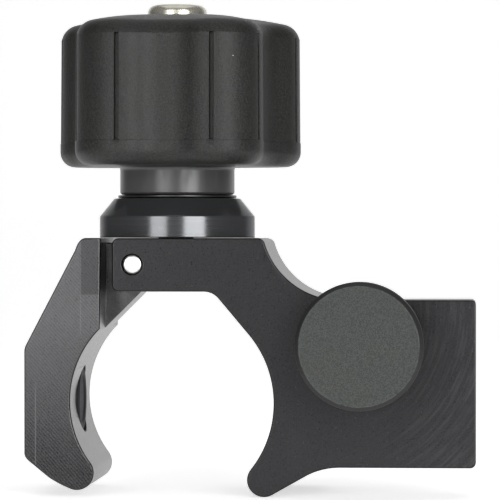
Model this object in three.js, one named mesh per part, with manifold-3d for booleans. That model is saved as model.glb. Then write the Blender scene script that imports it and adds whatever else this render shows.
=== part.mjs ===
// Pole clamp with a swinging jaw, a lobed clamping knob and an accessory block with a captive thumb screw.
// Millimetres, +Z up, +X towards the accessory block, -Y is the front.
// The origin is the axis of the clamped pole, half way between the two faces of the body.
import * as THREE from 'three';
import { mergeVertices } from 'three/addons/utils/BufferGeometryUtils.js';
import Module from 'manifold-3d';

const wasm = await Module();
wasm.setup();

// ---- driving dimensions -------------------------------------------------------------------------

const GAP = 0.1; // between faces that bear on each other
const FIT = 0.12; // radial clearance of a shaft in its hole
const EDGE = 0.3; // chamfer on machined edges

const DEPTH = 28; // front face to back face
const BODY_BORE_R = 16.7; // fixed side of the pole seat
const BODY_TOP = 25.86;
const ARCH_TOP = 17.45; // underside of the bridge over the pole
const EAR = { end: -8.69, cornerR: 1.1 };
const BRIDGE_END = { x: 14, cornerX: 14.9, filletZ: 25.2 }; // where the flat top turns into the block's fillet
const ARCH_CORNER = { x: 5.75, r: 3, seatAngle: 40 }; // rounds the seat into the underside of the bridge

const BLOCK = { end: 48.25, top: 16.2, bottom: -10.02, shoulder: 25, back: -1.3 };
const BLOCK_CORNER = { topR: 0.7, bottomR: 0.9 };
const BLOCK_FILLET = { x: 27.2, r: 12.4 };
const TIP = { r: 2.66, angle: -38.3, lowerSlope: 29 }; // rounded lower tip of the fixed hook
const TIP_FILLET = { x: 27, r: 11 };

const PIN = { x: -5.5, z: 21.7, r: 3.175 / 2, recess: 0.35 };
const PIN_CHAMFER = 0.2;
const SLOT = { halfWidth: 5.9, end: -2.6 }; // clevis slot between the ears
const SET_SCREW = { x: PIN.x, y: 9.6, r: 1.4, bottom: PIN.z + PIN.r + GAP, top: BODY_TOP - 0.5 };
const SET_SCREW_SOCKET = { acrossFlats: 1.3, depth: 1.2 };
const THREAD_INSERT = { r: 4.1, bottom: ARCH_TOP + 0.6, top: BODY_TOP - 0.2 };

const JAW_BORE = { x: 0.84, z: 0.25, r: 16.1 }; // moving side of the pole seat
const JAW_BORE_END = 135.2; // upper end of the seat, degrees about the centre of its bore
const JAW_TIP = { r: 2.7, angle: 216.7, start: 242 }; // angle: direction of the tip from the centre of its bore
const FLANGE = { inner: -10.45, outer: -22.5 };
const FLANGE_CORNERS = {
  top: { start: [-12.8, BODY_TOP], via: [-13.9, BODY_TOP], end: [-14.5, 23.9] },
  upper: { start: [-22.2, 9.15], via: [FLANGE.outer, 8.6], end: [FLANGE.outer, 8] },
  lower: { start: [FLANGE.outer, -7.9], via: [FLANGE.outer, -8.5], end: [-21.9, -9.05] },
  toe: { start: [-18.8, -11.6], via: [-17.2, -12.7] },
};
const TONGUE = { halfWidth: 5.6, root: 2, end: -3.2, r: 2.3, turn: 62 };
const TONGUE_CORNERS = {
  heel: [-10.97, 11.2],
  brow: [-3.9, 18.27],
  nose: 19.3,
  shoulder: [-7, 24.8],
  top: 25.3,
};
const POCKET = { r: 5.3, depth: 3.2, seatSag: 0.9, plugR: 5.1, recess: 1.3, plugChamfer: 0.3 };

const KNOB_X = 0.45; // axis of the clamping screw
const SCREW = { r: 3.175, tip: 17.9, tipChamfer: 0.6 };
const SCREW_HEAD = { r: 4.76, bottom: 56.85, top: 63.2, edge: 1.2, edgeMiddle: 0.35 };
const SCREW_SOCKET = { acrossFlats: 4.76, depth: 3.2 };
const COLLAR = { r: 12.45, topR: 10.1, shoulder: 29.3, top: 32.2, counterR: 6, counterTop: 27.6 };
const RING = { inner: 2.6, outer: 5.3, thickness: 0.9, grooveR: 2.48, mouth: 0.6 }; // mouth: share of inner
const WASHER = { r: 9.5, thickness: 0.4 };
const KNOB = { neckR: 9.18, bottom: 37.3, crown: 61.5, crownDrop: 1.5, edgeR: 2.6, twist: -2.2 };
const LOBES = { count: 5, centreR: 12.67, r: 7.5, contact: 29 }; // contact: half angle of a valley, degrees
const GROOVE = { angle: 36, width: 0.84, depth: 0.75, bottom: 41.2, top: 57.9 }; // two to a lobe
const INSERT = { r: 6.2, top: 43.8 };

const THUMB = { x: 30.45, z: 9.3, faceR: 9.2, rimR: 9.85, hubR: 6.4, face: 27.6, back: 18.2 };
const THUMB_EDGE = { width: 0.9, flare: 0.3 };
const THUMB_SCREW = { r: 3.175, tip: -7.5, tipChamfer: 0.6, holeR: 3.4, shankEnd: 1 };
const THUMB_SCREW_HEAD = { acrossFlats: 11.1, height: 4.2 };
const THUMB_WASHER_R = 6.1;
const THUMB_HEAD_COVER = 0.8; // moulding behind the screw head
const VENT = { r: 0.4, up: 1 };
const THUMB_COUNTERBORE = { r: 6.2, depth: 6.6 };

const STEPS = 40; // sides of a round piece
const BEYOND = 2; // how far a cutter runs past the face it cuts
const rad = THREE.MathUtils.degToRad;

// ---- materials ----------------------------------------------------------------------------------

const finish = (color, roughness, metalness) => new THREE.MeshStandardMaterial({ color, roughness, metalness });
const anodised = finish(0x4a474d, 0.45, 0.8);
const milled = finish(0x6a686d, 0.4, 0.85);
const glossBlack = finish(0x1c1d1f, 0.2, 0.6);
const moulded = finish(0x3f4441, 0.6, 0);
const mouldedGrey = finish(0x727a76, 0.75, 0);
const steel = finish(0xc9c9c6, 0.25, 1);
const zinc = finish(0x9a9a98, 0.4, 1);
const brass = finish(0xb08d4a, 0.35, 1);
const rubber = finish(0x161618, 0.85, 0);

// ---- solids -------------------------------------------------------------------------------------

function solid(geometry) {
  geometry.deleteAttribute('normal');
  geometry.deleteAttribute('uv');
  const merged = mergeVertices(geometry, 1e-4);
  const vertProperties = new Float32Array(merged.attributes.position.array);
  const triVerts = new Uint32Array(merged.index.array);
  return new wasm.Manifold(new wasm.Mesh({ numProp: 3, vertProperties, triVerts }));
}

function piece(name, manifold, material) {
  const mesh = manifold.getMesh();
  const geometry = new THREE.BufferGeometry();
  geometry.setAttribute('position', new THREE.BufferAttribute(new Float32Array(mesh.vertProperties), 3));
  geometry.setIndex(new THREE.BufferAttribute(new Uint32Array(mesh.triVerts), 1));
  geometry.computeVertexNormals();
  const node = new THREE.Mesh(geometry, material);
  node.name = name;
  return node;
}

// A plate standing across the pole: the shape is drawn in X and Z and runs from front to back in Y.
function plate(shape, front, back, chamfer = 0, curveSegments = 6) {
  const geometry = new THREE.ExtrudeGeometry(shape, {
    depth: back - front - 2 * chamfer,
    bevelEnabled: chamfer > 0,
    bevelThickness: chamfer,
    bevelSize: chamfer,
    bevelOffset: -chamfer,
    bevelSegments: 1,
    curveSegments,
  });
  geometry.rotateX(Math.PI / 2);
  geometry.translate(0, back - chamfer, 0);
  return solid(geometry);
}

function box(x0, x1, y0, y1, z0, z1) {
  const geometry = new THREE.BoxGeometry(x1 - x0, y1 - y0, z1 - z0);
  geometry.translate((x0 + x1) / 2, (y0 + y1) / 2, (z0 + z1) / 2);
  return solid(geometry);
}

// A turned piece about Z from [radius, height] points that start and end on the axis.
function turned(points, steps = STEPS) {
  const geometry = new THREE.LatheGeometry(points.map(([r, h]) => new THREE.Vector2(r, h)), steps);
  geometry.rotateX(Math.PI / 2);
  return solid(geometry);
}

function rod(r, z0, z1, steps = STEPS) {
  return turned([[0, z0], [r, z0], [r, z1], [0, z1]], steps);
}

function chamferedRod(r, z0, z1, chamfer, steps = STEPS) {
  const edge = r - chamfer;
  return turned([[0, z0], [edge, z0], [r, z0 + chamfer], [r, z1 - chamfer], [edge, z1], [0, z1]], steps);
}

function tube(inner, outer, z0, z1) {
  return rod(outer, z0, z1).subtract(rod(inner, z0 - 1, z1 + 1));
}

function hexPrism(acrossFlats, z0, z1) {
  return rod(acrossFlats / 2 / Math.cos(Math.PI / 6), z0, z1, 6);
}

// Turns a piece made about Z so that its +Z points to the front (-Y), or sideways along +X.
const toFront = (manifold) => manifold.rotate([90, 0, 0]);
const toSide = (manifold) => manifold.rotate([0, 90, 0]);

// ---- body ---------------------------------------------------------------------------------------

function bodyOutline() {
  const c = EAR.cornerR;
  const s = new THREE.Shape();
  s.moveTo(EAR.end + c, BODY_TOP);
  s.lineTo(BRIDGE_END.x, BODY_TOP);
  const filletZ = BLOCK.top + BLOCK_FILLET.r;
  const startDrop = BRIDGE_END.filletZ - filletZ;
  const startRun = -Math.sqrt(BLOCK_FILLET.r ** 2 - startDrop ** 2);
  s.quadraticCurveTo(BRIDGE_END.cornerX, BODY_TOP, BLOCK_FILLET.x + startRun, BRIDGE_END.filletZ);
  s.absarc(BLOCK_FILLET.x, filletZ, BLOCK_FILLET.r, Math.atan2(startDrop, startRun), -Math.PI / 2, false);
  const { topR, bottomR } = BLOCK_CORNER;
  s.lineTo(BLOCK.end - topR, BLOCK.top);
  s.absarc(BLOCK.end - topR, BLOCK.top - topR, topR, Math.PI / 2, 0, true);
  s.lineTo(BLOCK.end, BLOCK.bottom + bottomR);
  s.absarc(BLOCK.end - bottomR, BLOCK.bottom + bottomR, bottomR, 0, -Math.PI / 2, true);
  s.lineTo(TIP_FILLET.x, BLOCK.bottom);
  const under = rad(90 + TIP.lowerSlope);
  s.absarc(TIP_FILLET.x, BLOCK.bottom - TIP_FILLET.r, TIP_FILLET.r, Math.PI / 2, under, false);
  const reach = BODY_BORE_R + TIP.r;
  const tipAngle = rad(TIP.angle);
  const tipX = reach * Math.cos(tipAngle);
  const tipZ = reach * Math.sin(tipAngle);
  s.absarc(tipX, tipZ, TIP.r, rad(TIP.lowerSlope - 90), tipAngle - Math.PI, true);
  const seatAngle = rad(ARCH_CORNER.seatAngle);
  s.absarc(0, 0, BODY_BORE_R, tipAngle, seatAngle, false);
  s.absarc(ARCH_CORNER.x, ARCH_TOP - ARCH_CORNER.r, ARCH_CORNER.r, seatAngle, Math.PI / 2, false);
  s.lineTo(EAR.end + c, ARCH_TOP);
  s.absarc(EAR.end + c, ARCH_TOP + c, c, -Math.PI / 2, -Math.PI, true);
  s.lineTo(EAR.end, BODY_TOP - c);
  s.absarc(EAR.end + c, BODY_TOP - c, c, Math.PI, Math.PI / 2, true);
  return s;
}

function clampBody() {
  const half = DEPTH / 2;
  const over = BODY_TOP + BEYOND;
  const under = ARCH_TOP - BEYOND;
  const slot = box(EAR.end - BEYOND, SLOT.end, -SLOT.halfWidth, SLOT.halfWidth, under, over);
  const pinHole = toFront(rod(PIN.r + FIT, -half - BEYOND, half + BEYOND)).translate([PIN.x, 0, PIN.z]);
  const screwHole = rod(THREAD_INSERT.r + FIT, under, over).translate([KNOB_X, 0, 0]);
  const lockHole = rod(SET_SCREW.r + FIT, PIN.z, over, 16).translate([SET_SCREW.x, SET_SCREW.y, 0]);
  const lap = box(
    BLOCK.shoulder, BLOCK.end + BEYOND, BLOCK.back, half + BEYOND, BLOCK.bottom - BEYOND, BLOCK.top + BEYOND,
  );
  const thumbHole = toFront(rod(THUMB_SCREW.holeR, -half, half + BEYOND)).translate([THUMB.x, 0, THUMB.z]);
  const boreStart = -BLOCK.back - BEYOND;
  const counterbore = toFront(rod(THUMB_COUNTERBORE.r, boreStart, -BLOCK.back + THUMB_COUNTERBORE.depth))
    .translate([THUMB.x, 0, THUMB.z]);
  return [slot, pinHole, screwHole, lockHole, lap, thumbHole, counterbore]
    .reduce((body, cut) => body.subtract(cut), plate(bodyOutline(), -half, half, EDGE));
}

// ---- jaw ----------------------------------------------------------------------------------------

function flangeOutline() {
  const reach = JAW_BORE.r + JAW_TIP.r;
  const tipX = JAW_BORE.x + reach * Math.cos(rad(JAW_TIP.angle));
  const tipZ = JAW_BORE.z + reach * Math.sin(rad(JAW_TIP.angle));
  const tipStart = rad(JAW_TIP.start);
  const toeEnd = [tipX + JAW_TIP.r * Math.cos(tipStart), tipZ + JAW_TIP.r * Math.sin(tipStart)];
  const { top, upper, lower, toe } = FLANGE_CORNERS;
  const s = new THREE.Shape();
  s.moveTo(FLANGE.inner, BODY_TOP);
  for (const { start, via, end } of [top, upper, lower, { ...toe, end: toeEnd }]) {
    s.lineTo(...start);
    s.quadraticCurveTo(...via, ...end);
  }
  s.absarc(tipX, tipZ, JAW_TIP.r, tipStart, rad(JAW_TIP.angle + 180), false);
  s.absarc(JAW_BORE.x, JAW_BORE.z, JAW_BORE.r, rad(JAW_TIP.angle), rad(JAW_BORE_END), true);
  return s;
}

function tongueOutline() {
  const { heel, brow, nose, shoulder, top } = TONGUE_CORNERS;
  const root = FLANGE.inner - TONGUE.root;
  const s = new THREE.Shape();
  s.moveTo(root, heel[1]);
  s.lineTo(...heel);
  s.lineTo(...brow);
  s.lineTo(TONGUE.end, nose);
  s.lineTo(TONGUE.end, PIN.z);
  s.absarc(PIN.x, PIN.z, TONGUE.r, 0, rad(TONGUE.turn), false);
  s.lineTo(...shoulder);
  s.lineTo(root, top);
  return s;
}

function jawPocketFloor() {
  return JAW_BORE.x - Math.sqrt(JAW_BORE.r ** 2 - POCKET.r ** 2) - POCKET.depth + POCKET.seatSag;
}

function jaw() {
  const half = DEPTH / 2;
  const flange = plate(flangeOutline(), -half, half, EDGE);
  const tongue = plate(tongueOutline(), -TONGUE.halfWidth, TONGUE.halfWidth);
  const pinHole = toFront(rod(PIN.r + FIT, -half, half)).translate([PIN.x, 0, PIN.z]);
  const pocket = toSide(rod(POCKET.r, jawPocketFloor(), 0, 32));
  return flange.add(tongue).subtract(pinHole).subtract(pocket);
}

function jawGripPlug() {
  const floor = jawPocketFloor();
  const face = floor + POCKET.depth - POCKET.recess;
  return toSide(chamferedRod(POCKET.plugR, floor + GAP, face, POCKET.plugChamfer, 32));
}

function jawGroup() {
  const group = new THREE.Group();
  group.add(piece('jaw', jaw(), milled));
  group.add(piece('jaw_grip_plug', jawGripPlug(), rubber));
  return group;
}

// ---- fixed parts --------------------------------------------------------------------------------

function bodyGroup() {
  const pinHalf = DEPTH / 2 - PIN.recess;
  const pin = piece('pivot_pin', toFront(chamferedRod(PIN.r, -pinHalf, pinHalf, PIN_CHAMFER)), steel);
  pin.position.set(PIN.x, 0, PIN.z);

  const lockShank = chamferedRod(SET_SCREW.r, SET_SCREW.bottom, SET_SCREW.top, PIN_CHAMFER, 16);
  const socketFloor = SET_SCREW.top - SET_SCREW_SOCKET.depth;
  const lockSocket = hexPrism(SET_SCREW_SOCKET.acrossFlats, socketFloor, SET_SCREW.top + BEYOND);
  const lock = piece('pin_set_screw', lockShank.subtract(lockSocket), zinc);
  lock.position.set(SET_SCREW.x, SET_SCREW.y, 0);

  const sleeve = tube(SCREW.r + FIT, THREAD_INSERT.r, THREAD_INSERT.bottom, THREAD_INSERT.top);
  const r = THREAD_INSERT.r + BEYOND;
  // The side of the sleeve that stands into the clevis slot is cut flush with the end of the slot.
  const slotCut = box(-r, SLOT.end - KNOB_X + FIT, -r, r, THREAD_INSERT.bottom - BEYOND, BODY_TOP);
  const insert = piece('body_thread_insert', sleeve.subtract(slotCut), steel);
  insert.position.set(KNOB_X, 0, 0);

  const group = new THREE.Group();
  group.add(piece('clamp_body', clampBody(), anodised), pin, lock, insert);
  return group;
}

// ---- clamping screw, collar and lobed knob ------------------------------------------------------

const RING_BOTTOM = BODY_TOP + 2 * GAP;
const WASHER_BOTTOM = COLLAR.top + GAP;
const NECK_BOTTOM = WASHER_BOTTOM + WASHER.thickness + GAP;
const HEAD_WASHER = { outer: 4.8, thickness: 0.8 };
const HEAD_SEAT = SCREW_HEAD.bottom - HEAD_WASHER.thickness - 2 * GAP;

function lobedOutline() {
  const step = 360 / LOBES.count;
  const span = step / 2 + LOBES.contact;
  const halfStep = rad(step / 2);
  const contact = rad(LOBES.contact);
  const valleyR = LOBES.centreR * Math.sin(halfStep) / Math.sin(contact) - LOBES.r;
  const valleyCentre = LOBES.centreR * Math.cos(halfStep) + (LOBES.r + valleyR) * Math.cos(contact);
  const s = new THREE.Shape();
  for (let i = 0; i < LOBES.count; i++) {
    const lobe = KNOB.twist - 90 + step * (i + 0.5);
    const valley = lobe + step / 2;
    const lobeAt = [LOBES.centreR * Math.cos(rad(lobe)), LOBES.centreR * Math.sin(rad(lobe))];
    const valleyAt = [valleyCentre * Math.cos(rad(valley)), valleyCentre * Math.sin(rad(valley))];
    const inward = valley + 180;
    s.absarc(lobeAt[0], lobeAt[1], LOBES.r, rad(lobe - span), rad(lobe + span), false);
    s.absarc(valleyAt[0], valleyAt[1], valleyR, rad(inward + LOBES.contact), rad(inward - LOBES.contact), true);
  }
  return s;
}

function knobGrooves() {
  const inner = LOBES.r - GROOVE.depth;
  const outer = LOBES.r + BEYOND;
  const groove = box(inner, outer, -GROOVE.width / 2, GROOVE.width / 2, GROOVE.bottom, GROOVE.top);
  const grooves = [];
  for (let i = 0; i < LOBES.count; i++) {
    const lobe = KNOB.twist - 90 + (360 / LOBES.count) * (i + 0.5);
    for (const side of [-GROOVE.angle, GROOVE.angle]) {
      grooves.push(groove.rotate([0, 0, side]).translate([LOBES.centreR, 0, 0]).rotate([0, 0, lobe]));
    }
  }
  return grooves;
}

function lobedKnob() {
  const e = KNOB.edgeR;
  const grip = new THREE.ExtrudeGeometry(lobedOutline(), {
    depth: KNOB.crown - KNOB.bottom - 2 * e,
    bevelThickness: e,
    bevelSize: e,
    bevelOffset: -e,
    bevelSegments: 3,
    curveSegments: 5,
  });
  grip.translate(0, 0, KNOB.bottom + e);
  const rimR = LOBES.centreR + LOBES.r;
  const outside = 1.5 * rimR; // the dome shapes only the crown, so its side stands clear of the lobes
  const dome = [[0, 0], [outside, 0], [outside, KNOB.crown - 4 * KNOB.crownDrop]];
  for (let r = rimR; r > 0; r -= rimR / 6) {
    dome.push([r, KNOB.crown - KNOB.crownDrop * (r / rimR) ** 2]);
  }
  dome.push([0, KNOB.crown]);
  const neck = rod(KNOB.neckR, NECK_BOTTOM, KNOB.bottom + e);
  const bore = rod(SCREW.r + FIT, 0, SCREW_HEAD.top);
  const headRecess = rod(SCREW_HEAD.r + 2 * FIT, HEAD_SEAT, SCREW_HEAD.top);
  const insertRecess = rod(INSERT.r + FIT, 0, INSERT.top + GAP);
  return [bore, headRecess, insertRecess, ...knobGrooves()]
    .reduce((knob, cut) => knob.subtract(cut), solid(grip).intersect(turned(dome)).add(neck));
}

function clampScrew() {
  const ringTop = RING_BOTTOM + RING.thickness + GAP;
  const { edge, edgeMiddle } = SCREW_HEAD;
  const points = [
    [0, SCREW.tip], [SCREW.r - SCREW.tipChamfer, SCREW.tip], [SCREW.r, SCREW.tip + SCREW.tipChamfer],
    [SCREW.r, RING_BOTTOM - GAP], [RING.grooveR, RING_BOTTOM - GAP],
    [RING.grooveR, ringTop], [SCREW.r, ringTop], [SCREW.r, SCREW_HEAD.bottom],
    [SCREW_HEAD.r, SCREW_HEAD.bottom], [SCREW_HEAD.r, SCREW_HEAD.top - edge],
    [SCREW_HEAD.r - edgeMiddle, SCREW_HEAD.top - edgeMiddle], [SCREW_HEAD.r - edge, SCREW_HEAD.top],
    [0, SCREW_HEAD.top],
  ];
  const socketFloor = SCREW_HEAD.top - SCREW_SOCKET.depth;
  return turned(points).subtract(hexPrism(SCREW_SOCKET.acrossFlats, socketFloor, SCREW_HEAD.top + BEYOND));
}

function pressureCollar() {
  const c = EDGE;
  const outer = turned([
    [0, BODY_TOP + GAP], [COLLAR.r - c, BODY_TOP + GAP], [COLLAR.r, BODY_TOP + GAP + c],
    [COLLAR.r, COLLAR.shoulder], [COLLAR.topR, COLLAR.top], [0, COLLAR.top],
  ], 56);
  const bore = rod(SCREW.r + FIT, 0, COLLAR.top + BEYOND);
  return outer.subtract(bore).subtract(rod(COLLAR.counterR, 0, COLLAR.counterTop));
}

function openRing(inner, outer, z0, thickness) {
  const gapHalf = inner * RING.mouth;
  const mouth = box(-gapHalf, gapHalf, 0, outer + BEYOND, z0 - BEYOND, z0 + thickness + BEYOND);
  return tube(inner, outer, z0, z0 + thickness).subtract(mouth);
}

function knobGroup() {
  const group = new THREE.Group();
  group.position.x = KNOB_X;
  const washerTop = WASHER_BOTTOM + WASHER.thickness;
  const headWasherTop = SCREW_HEAD.bottom - GAP;
  group.add(
    piece('pressure_collar', pressureCollar(), glossBlack),
    piece('thrust_washer', tube(SCREW.r + FIT, WASHER.r, WASHER_BOTTOM, washerTop), zinc),
    piece('screw_retaining_ring', openRing(RING.inner, RING.outer, RING_BOTTOM, RING.thickness), zinc),
    piece('lobed_knob', lobedKnob(), moulded),
    piece('knob_insert', tube(SCREW.r + FIT, INSERT.r, NECK_BOTTOM + 2 * GAP, INSERT.top), brass),
    piece('head_washer', tube(SCREW.r + FIT, HEAD_WASHER.outer, HEAD_SEAT + GAP, headWasherTop), zinc),
    piece('clamp_screw', clampScrew(), steel),
  );
  return group;
}

// ---- accessory thumb screw: made about Z, with +Z to the front ----------------------------------

function thumbKnob(headBottom) {
  const start = DEPTH / 2 + 3 * GAP + WASHER.thickness;
  const { hubR, rimR, back, face } = THUMB;
  const { width: edge, flare } = THUMB_EDGE;
  const body = turned([
    [0, start], [hubR, start], [hubR, back - edge], [rimR - edge, back],
    [rimR - flare, back + edge], [rimR, face - edge], [THUMB.faceR, face], [0, face],
  ], 48);
  const bore = rod(THUMB_SCREW.r + FIT, 0, headBottom + THUMB_SCREW.shankEnd);
  const { acrossFlats, height } = THUMB_SCREW_HEAD;
  const headRecess = hexPrism(acrossFlats + 2 * FIT, headBottom - GAP, headBottom + height + GAP);
  // A slim vent from the rim keeps the hollow for the screw head open to the outside.
  const vent = toSide(rod(VENT.r, 0, THUMB.rimR + BEYOND, 8)).translate([0, 0, headBottom + VENT.up]);
  return body.subtract(bore).subtract(headRecess).subtract(vent);
}

function thumbScrew(headBottom, ringAt) {
  const { r, tip, tipChamfer } = THUMB_SCREW;
  const ringTop = ringAt + RING.thickness + GAP;
  const shankTop = headBottom + THUMB_SCREW.shankEnd;
  const shank = turned([
    [0, tip], [r - tipChamfer, tip], [r, tip + tipChamfer], [r, ringAt - GAP],
    [RING.grooveR, ringAt - GAP], [RING.grooveR, ringTop], [r, ringTop], [r, shankTop], [0, shankTop],
  ]);
  return shank.add(hexPrism(THUMB_SCREW_HEAD.acrossFlats, headBottom, headBottom + THUMB_SCREW_HEAD.height));
}

function accessoryGroup() {
  const group = new THREE.Group();
  group.position.set(THUMB.x, 0, THUMB.z);
  group.rotation.x = Math.PI / 2;
  const washerAt = DEPTH / 2 + GAP;
  const headBottom = THUMB.back + THUMB_HEAD_COVER;
  const ringAt = -BLOCK.back + 2 * GAP;
  const washer = tube(THUMB_SCREW.holeR, THUMB_WASHER_R, washerAt, washerAt + WASHER.thickness);
  group.add(
    piece('accessory_knob', thumbKnob(headBottom), mouldedGrey),
    piece('accessory_screw', thumbScrew(headBottom, ringAt), steel),
    piece('accessory_washer', washer, zinc),
    piece('accessory_retaining_ring', openRing(RING.inner, RING.outer, ringAt, RING.thickness), zinc),
  );
  return group;
}

// ---- assembly -----------------------------------------------------------------------------------

const clamp = new THREE.Group();
clamp.add(bodyGroup(), jawGroup(), knobGroup(), accessoryGroup());
export default clamp;
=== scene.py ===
"""Looks of the pole clamp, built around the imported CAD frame. Metres, +Z up, the front looks along -Y."""
import math

import bmesh
import bpy
from mathutils import Matrix, Vector


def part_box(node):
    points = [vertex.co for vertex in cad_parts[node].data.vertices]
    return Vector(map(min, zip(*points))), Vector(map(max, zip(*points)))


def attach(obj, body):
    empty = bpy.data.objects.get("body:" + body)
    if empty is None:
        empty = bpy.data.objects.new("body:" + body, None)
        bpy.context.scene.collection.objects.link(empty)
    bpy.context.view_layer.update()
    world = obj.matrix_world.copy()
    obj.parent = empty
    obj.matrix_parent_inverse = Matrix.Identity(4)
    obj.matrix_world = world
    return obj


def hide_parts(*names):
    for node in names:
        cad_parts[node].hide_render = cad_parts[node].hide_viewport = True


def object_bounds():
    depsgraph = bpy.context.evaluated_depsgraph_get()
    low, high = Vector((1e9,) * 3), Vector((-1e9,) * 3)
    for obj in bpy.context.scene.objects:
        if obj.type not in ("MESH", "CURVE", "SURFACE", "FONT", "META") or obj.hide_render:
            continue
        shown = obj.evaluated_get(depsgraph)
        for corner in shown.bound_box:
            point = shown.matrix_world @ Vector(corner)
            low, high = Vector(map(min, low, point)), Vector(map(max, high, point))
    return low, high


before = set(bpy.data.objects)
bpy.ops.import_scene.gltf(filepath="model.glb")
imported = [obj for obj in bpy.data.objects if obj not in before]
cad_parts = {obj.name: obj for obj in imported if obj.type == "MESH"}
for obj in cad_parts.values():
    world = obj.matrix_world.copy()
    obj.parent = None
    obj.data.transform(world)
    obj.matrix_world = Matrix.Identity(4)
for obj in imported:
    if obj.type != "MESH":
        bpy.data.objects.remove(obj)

cad_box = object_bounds()
MM = 0.001
DEG = math.pi / 180

# ---- camera -------------------------------------------------------------------------------------

CAMERA_AT = (0.0466, -0.538, 0.0255)
CAMERA_AIM = (0.01303, -0.014, 0.02398)
LENS = 242.0
SENSOR = 36.0
CLIP = (0.01, 20.0)


def make_camera():
    data = bpy.data.cameras.new("camera")
    data.lens = LENS
    data.sensor_width = SENSOR
    data.clip_start, data.clip_end = CLIP
    camera = bpy.data.objects.new("camera", data)
    camera.location = CAMERA_AT
    aim = Vector(CAMERA_AIM) - Vector(CAMERA_AT)
    camera.rotation_euler = aim.to_track_quat("-Z", "Y").to_euler()
    bpy.context.scene.collection.objects.link(camera)
    bpy.context.scene.camera = camera


# ---- sizes, in millimetres and degrees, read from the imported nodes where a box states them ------


def mm_box(node):
    low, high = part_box(node)
    return low / MM, high / MM


body_low, body_high = mm_box("clamp_body")
jaw_low, _ = mm_box("jaw")
collar_low, collar_high = mm_box("pressure_collar")
knob_low, _ = mm_box("lobed_knob")
screw_low, screw_high = mm_box("clamp_screw")
pin_low, pin_high = mm_box("pivot_pin")
thumb_low, thumb_high = mm_box("accessory_knob")
_, stud_high = mm_box("accessory_screw")

HALF_DEPTH = body_high.y
BODY_TOP = body_high.z
BODY_END = body_high.x
EAR_END = body_low.x
EAR_CORNER = 1.1
BORE_R = 16.7
ARCH_TOP = 17.45
ARCH_CORNER = {"x": 5.75, "r": 3.0, "start": 40}
BRIDGE_END = {"x": 14.0, "corner_x": 14.9, "low": 25.2}
BLOCK_TOP = 16.2
BLOCK_BOTTOM = -10.02
BLOCK_FILLET = {"x": 27.2, "r": 12.4}
BLOCK_UNDERCUT = {"x": 27.0, "r": 11.0}
BLOCK_CORNER_TOP = 0.7
BLOCK_CORNER_BOTTOM = 0.9
HOOK_TIP = {"r": 2.658, "slope": 29.0, "angle": -38.3}
SHOULDER_X = 25.0
LAP_Y = -1.3
SLOT_HALF = 5.9
SLOT_END = -2.6
PIN_X = (pin_low.x + pin_high.x) / 2
PIN_Z = (pin_low.z + pin_high.z) / 2
PIN_R = (pin_high.x - pin_low.x) / 2
KNOB_X = (collar_low.x + collar_high.x) / 2
THUMB_X = (thumb_low.x + thumb_high.x) / 2
THUMB_Z = (thumb_low.z + thumb_high.z) / 2
THUMB_FACE_R = 9.2
FLANGE_X = -10.45
JAW_BORE = (0.84, 0.25, 16.1)
JAW_BORE_END = 135.2
JAW_TIP = {"r": 2.7, "angle": 216.7, "start": 242}
TONGUE_HALF = 5.6
TONGUE_NOSE_R = 2.3
POCKET_R = 5.3
POCKET_DEPTH = 2.3
EDGE = 0.3  # radius of the broken edges on the front and back faces
BEVEL = 0.12  # width of the broken edges of the machined cuts
PIN_FIT = 0.12
INSERT_HOLE_R = 4.22
LOCK_SCREW = {"y": 9.6, "hole_r": 1.52}
THUMB_HOLE_R = 3.4
THUMB_RECESS = {"r": 6.2, "depth": 6.6}
SCREW_R = 3.175
SCREW_FIT = 0.12
THREAD_PITCH = 1.27
BEYOND = 2.0  # how far a cutter reaches past the faces that it opens

# ---- outlines -----------------------------------------------------------------------------------


def arc(cx, cz, r, start, end, step=3.0):
    """Points on an arc, with angles in degrees from +X towards +Z."""
    count = max(2, math.ceil(abs(end - start) / step))
    angles = [start + (end - start) * i / count for i in range(count + 1)]
    return [(cx + r * math.cos(a * DEG), cz + r * math.sin(a * DEG)) for a in angles]


def curve(p0, p1, p2, count=8):
    """A quadratic curve from p0 to p2 that heads for p1."""
    points = []
    for i in range(count + 1):
        t = i / count
        weights = ((1 - t) ** 2, 2 * t * (1 - t), t ** 2)
        points.append(tuple(sum(w * p[k] for w, p in zip(weights, (p0, p1, p2))) for k in range(2)))
    return points


def tidy(points, least=0.02):
    """Drops points that repeat the one before."""
    kept = []
    for p in points:
        if not kept or math.dist(p, kept[-1]) > least:
            kept.append(p)
    if math.dist(kept[0], kept[-1]) <= least:
        kept.pop()
    return kept


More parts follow.
